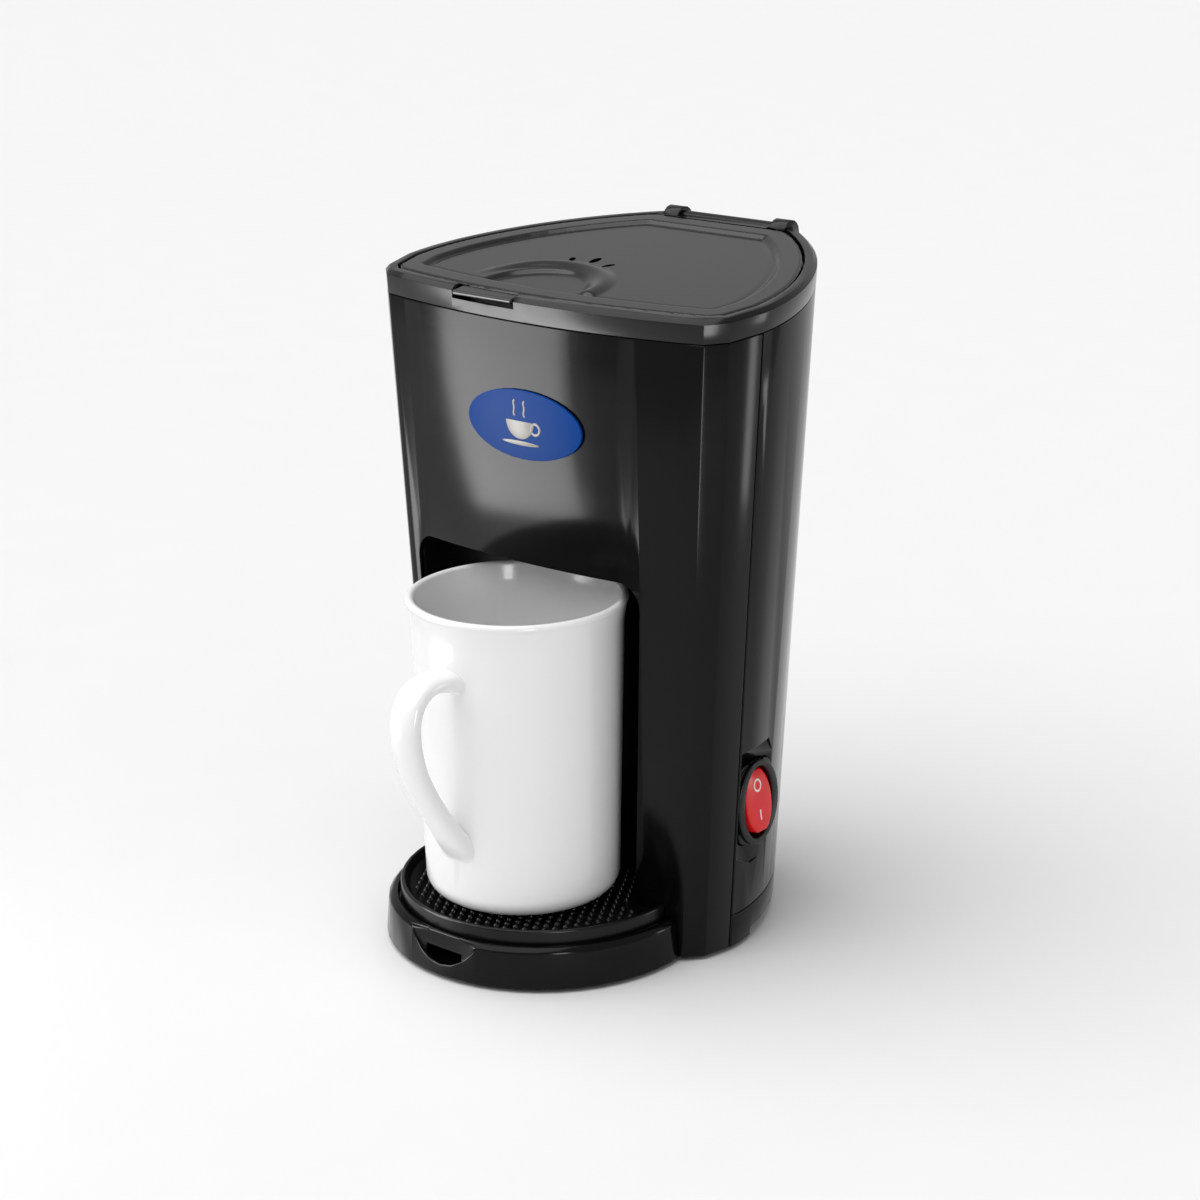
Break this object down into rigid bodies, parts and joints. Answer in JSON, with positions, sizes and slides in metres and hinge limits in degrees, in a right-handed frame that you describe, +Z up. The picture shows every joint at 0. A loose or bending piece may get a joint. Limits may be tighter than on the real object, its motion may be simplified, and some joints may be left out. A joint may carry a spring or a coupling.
{
  "type": "drip coffee maker",
  "caption": "One-cup drip coffee maker: black tower with a hinged lid, lift-out filter basket, rocker switch and drip tray, with its white mug standing in the cut-out.",
  "frame": {"origin": "on the counter, under the middle of the whole object's box, mug included", "axes": "+X to the right of someone facing the front, -Y towards the front with the mug, +Z up"},
  "size_m": [0.1574, 0.1846, 0.2393],
  "materials": {
    "shell_gloss": "glossy moulded black",
    "rim_gloss": "glossy moulded black",
    "lid_black": "glossy moulded black",
    "inner_satin": "satin black",
    "tray_satin": "satin black",
    "switch_satin": "satin black",
    "rocker_red": "glossy red",
    "mug_glaze": "white glaze",
    "badge_blue": "glossy blue with a pale edge",
    "tank_grey": "moulded dark grey",
    "silicone": "pale silicone",
    "aluminium": "die cast",
    "steel": "bright",
    "brass": "bright",
    "rubber": "dull black"
  },
  "bodies": {
    "housing": {"front_shell": "shell_gloss", "rear_shell": "shell_gloss", "base_skirt": "shell_gloss", "top_rim": "rim_gloss", "hinge_pin_left": "steel", "hinge_pin_right": "steel", "mug_alcove": "inner_satin", "foot_housing": "shell_gloss", "bottom_cover": "inner_satin", "foot_front_left": "rubber", "foot_front_right": "rubber", "foot_rear_left": "rubber", "foot_rear_right": "rubber", "cover_screw_1": "steel", "cover_screw_2": "steel", "cover_screw_3": "steel", "cover_screw_4": "steel", "water_tank": "tank_grey", "tank_hose": "silicone", "check_valve": "inner_satin", "cold_hose": "silicone", "heater_body": "aluminium", "heater_bracket": "steel", "thermostat": "steel", "thermal_fuse": "steel", "riser_tube": "silicone", "water_spout": "inner_satin", "clamp_tank": "steel", "clamp_cold": "steel", "clamp_hot": "steel", "clamp_spout": "steel", "switch_housing": "switch_satin", "switch_terminal_upper": "brass", "switch_terminal_lower": "brass", "cord_gland": "rubber", "badge": "badge_blue"},
    "lid": {"lid": "lid_black", "shower_channel": "inner_satin"},
    "basket": {"filter_basket": "inner_satin", "filter_frame": "inner_satin", "filter_mesh": "steel"},
    "rocker": {"rocker": "rocker_red"},
    "tray": {"drip_tray": "tray_satin"},
    "mug": {"mug": "mug_glaze"}
  },
  "joints": [
    {"name": "lid_hinge", "type": "hinge", "parent": "housing", "child": "lid", "pos_m": [0, 0.0876, 0.23465], "axis": [-1, 0, 0], "range_deg": [0, 95]},
    {"name": "basket_lift", "type": "slide", "parent": "housing", "child": "basket", "axis": [0, 0, 1], "range_m": [0, 0.0747]},
    {"name": "rocker_tilt", "type": "hinge", "parent": "housing", "child": "rocker", "pos_m": [0.0627, 0.0146, 0.0526], "axis": [0, 1, 0], "range_deg": [0, 17]},
    {"name": "tray_lift", "type": "slide", "parent": "housing", "child": "tray", "axis": [0, 0, 1], "range_m": [0, 0.006]},
    {"name": "mug_slide", "type": "slide", "parent": "tray", "child": "mug", "axis": [0, -0.9925, 0.1219], "range_m": [0, 0.08]}
  ],
  "couplings": [
    {"joint": "basket_lift", "follows": "lid_hinge", "m_per_rad": 0.045}
  ]
}
